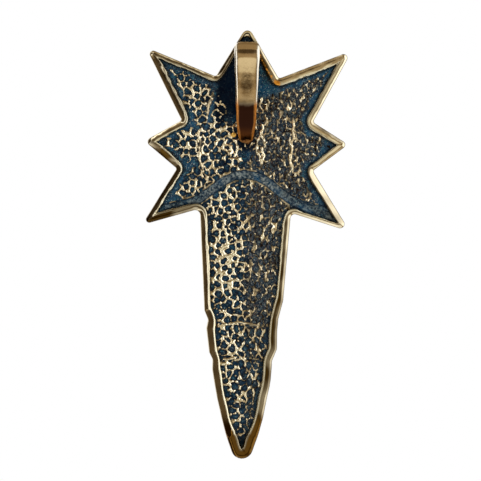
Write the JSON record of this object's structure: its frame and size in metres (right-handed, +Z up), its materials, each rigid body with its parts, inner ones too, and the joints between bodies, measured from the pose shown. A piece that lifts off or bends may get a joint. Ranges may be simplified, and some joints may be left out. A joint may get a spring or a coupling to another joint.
{
  "type": "pendant",
  "caption": "Cast star-burst pendant with a long tapering blade, hollow textured back and a soldered strap bail for a cord.",
  "frame": {"origin": "centre of the round seat at the top of the bail, where the cord carries the pendant", "axes": "+Z up as the pendant hangs, +X along the cord, +Y out of the show face (the bail is on the -Y side)"},
  "size_m": [0.028, 0.0076, 0.06],
  "materials": {
    "bronze": "polished cast bronze",
    "strap_brass": "polished",
    "solder": "satin",
    "patina": "dark teal antiquing lacquer, satin"
  },
  "bodies": {
    "root": {"pendant_casting": "bronze", "bail_strap": "strap_brass", "solder_joint_upper": "solder", "solder_joint_lower": "solder", "solder_bead": "solder", "patina_fill_head": "patina", "patina_fill_arch": "patina", "patina_fill_blade": "patina"}
  },
  "joints": []
}
